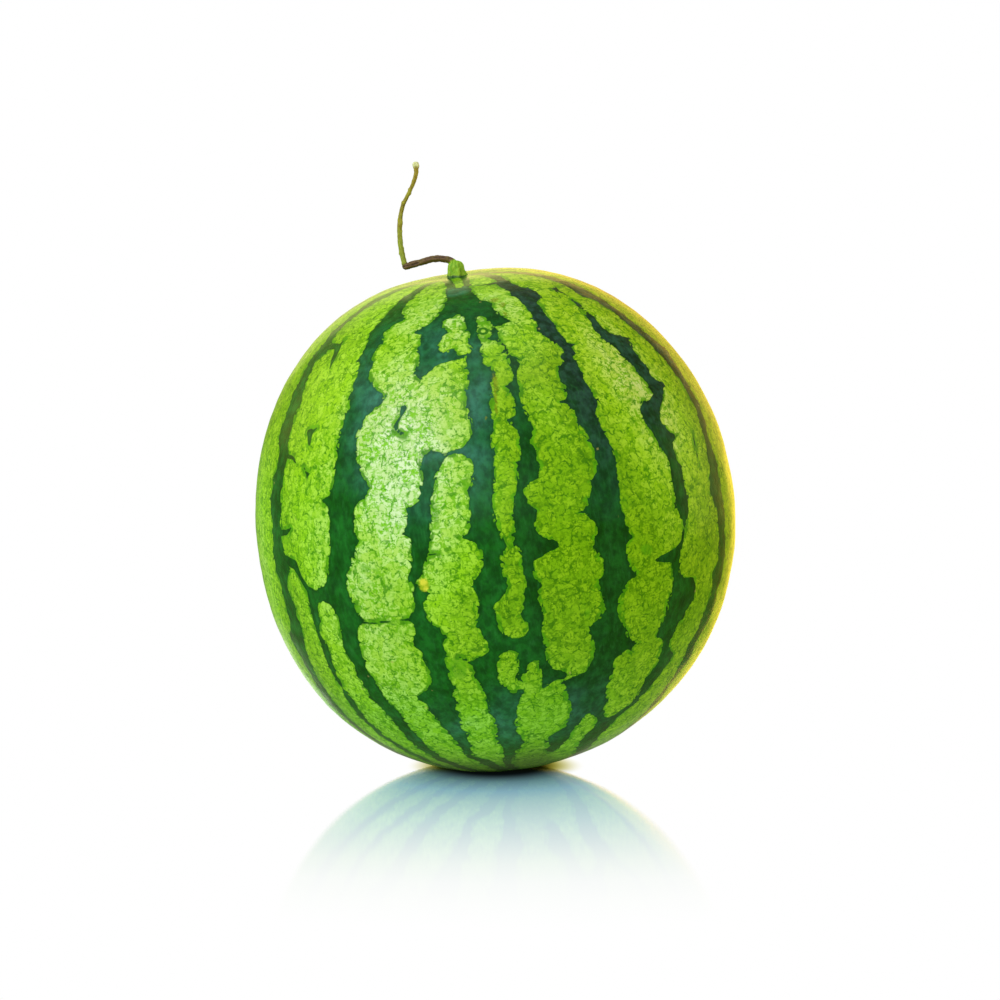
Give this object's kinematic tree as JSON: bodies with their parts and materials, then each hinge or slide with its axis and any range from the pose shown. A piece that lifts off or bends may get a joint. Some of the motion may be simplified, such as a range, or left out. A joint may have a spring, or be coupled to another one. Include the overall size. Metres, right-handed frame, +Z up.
{
  "type": "watermelon",
  "caption": "Whole round striped watermelon resting on its blossom end, with a fleshy stalk foot and a thin, kinked, dried stalk rising from the stem end.",
  "frame": {"origin": "middle of the overall box in plan, on the surface that the fruit rests on", "axes": "+Z up, roughly along the fruit's own length from blossom end to stem end; -Y towards the side with the broad central stripes; the stem end leans 9 degrees towards -X"},
  "size_m": [0.2198, 0.2192, 0.2784],
  "materials": {
    "rind": "waxy, faintly netted rind: dark green stripes with ragged, lobed edges on light yellow-green",
    "stalk": "matt plant stem: green and fleshy at the foot, dried brown along the arch, olive above the kink"
  },
  "bodies": {
    "root": {"fruit": "rind", "stem": "stalk"}
  },
  "joints": []
}
